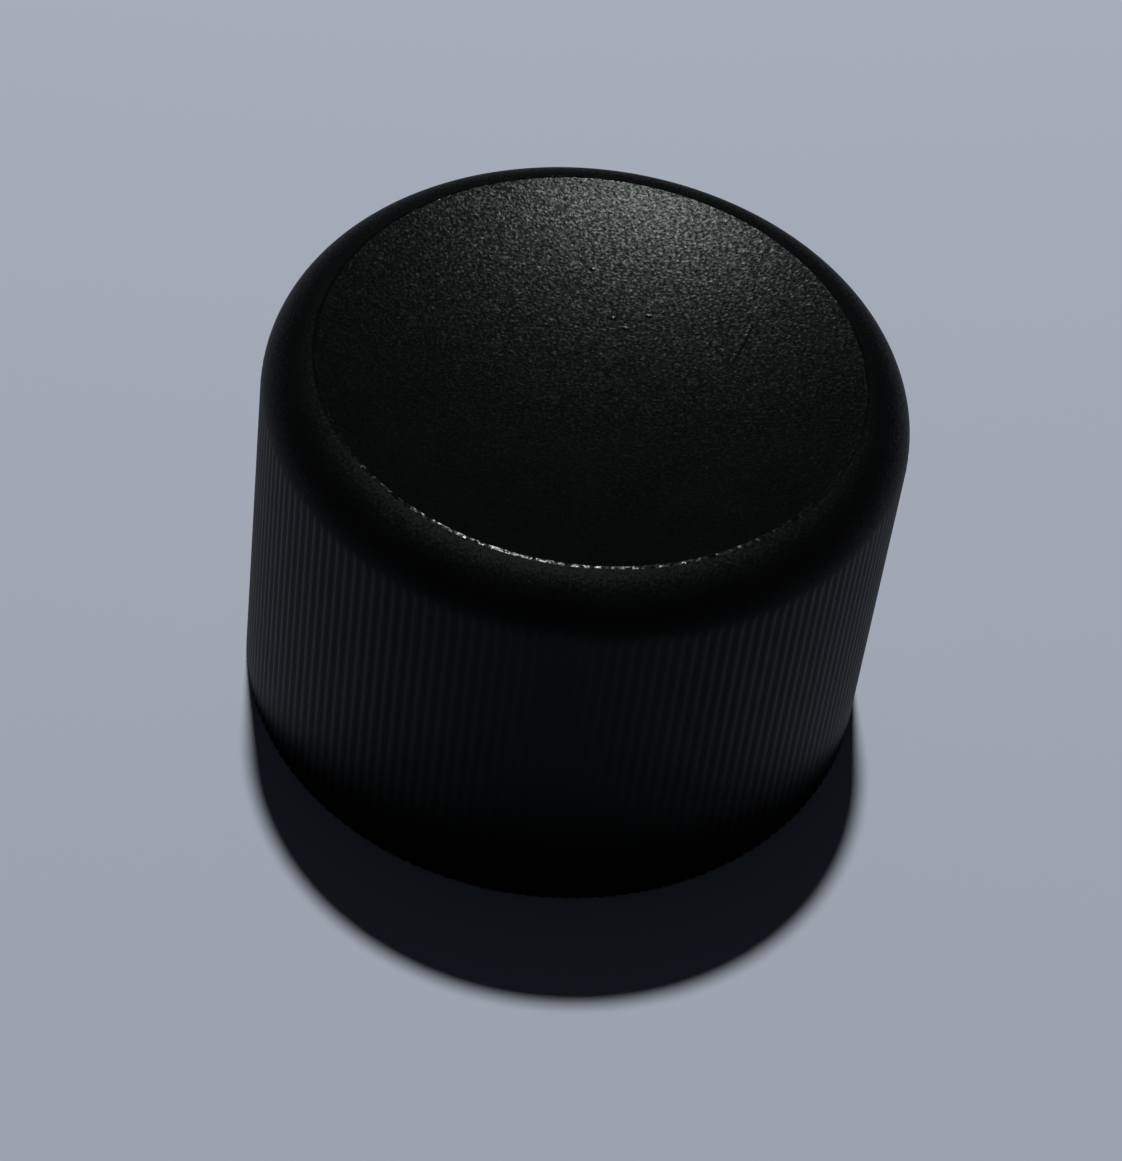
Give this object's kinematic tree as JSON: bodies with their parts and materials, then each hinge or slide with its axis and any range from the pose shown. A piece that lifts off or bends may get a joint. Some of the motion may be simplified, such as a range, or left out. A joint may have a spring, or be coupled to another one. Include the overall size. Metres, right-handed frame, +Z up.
{
  "type": "radio knob",
  "caption": "Round push-on control knob with a dished top, rounded shoulder and finely ribbed side, hollow underneath with a split boss that a spring ring closes on its shaft.",
  "frame": {"origin": "centre of the base plane, on the knob's axis", "axes": "+Z up along the knob's axis, from the base to the dish; +X along the slot in the boss"},
  "size_m": [0.03, 0.03, 0.02],
  "materials": {
    "black_plastic": "satin black moulding, finely spark-textured in the dish",
    "spring_steel": "bright rolled spring strip"
  },
  "bodies": {
    "root": {"knob_body": "black_plastic", "spring_ring": "spring_steel"}
  },
  "joints": []
}
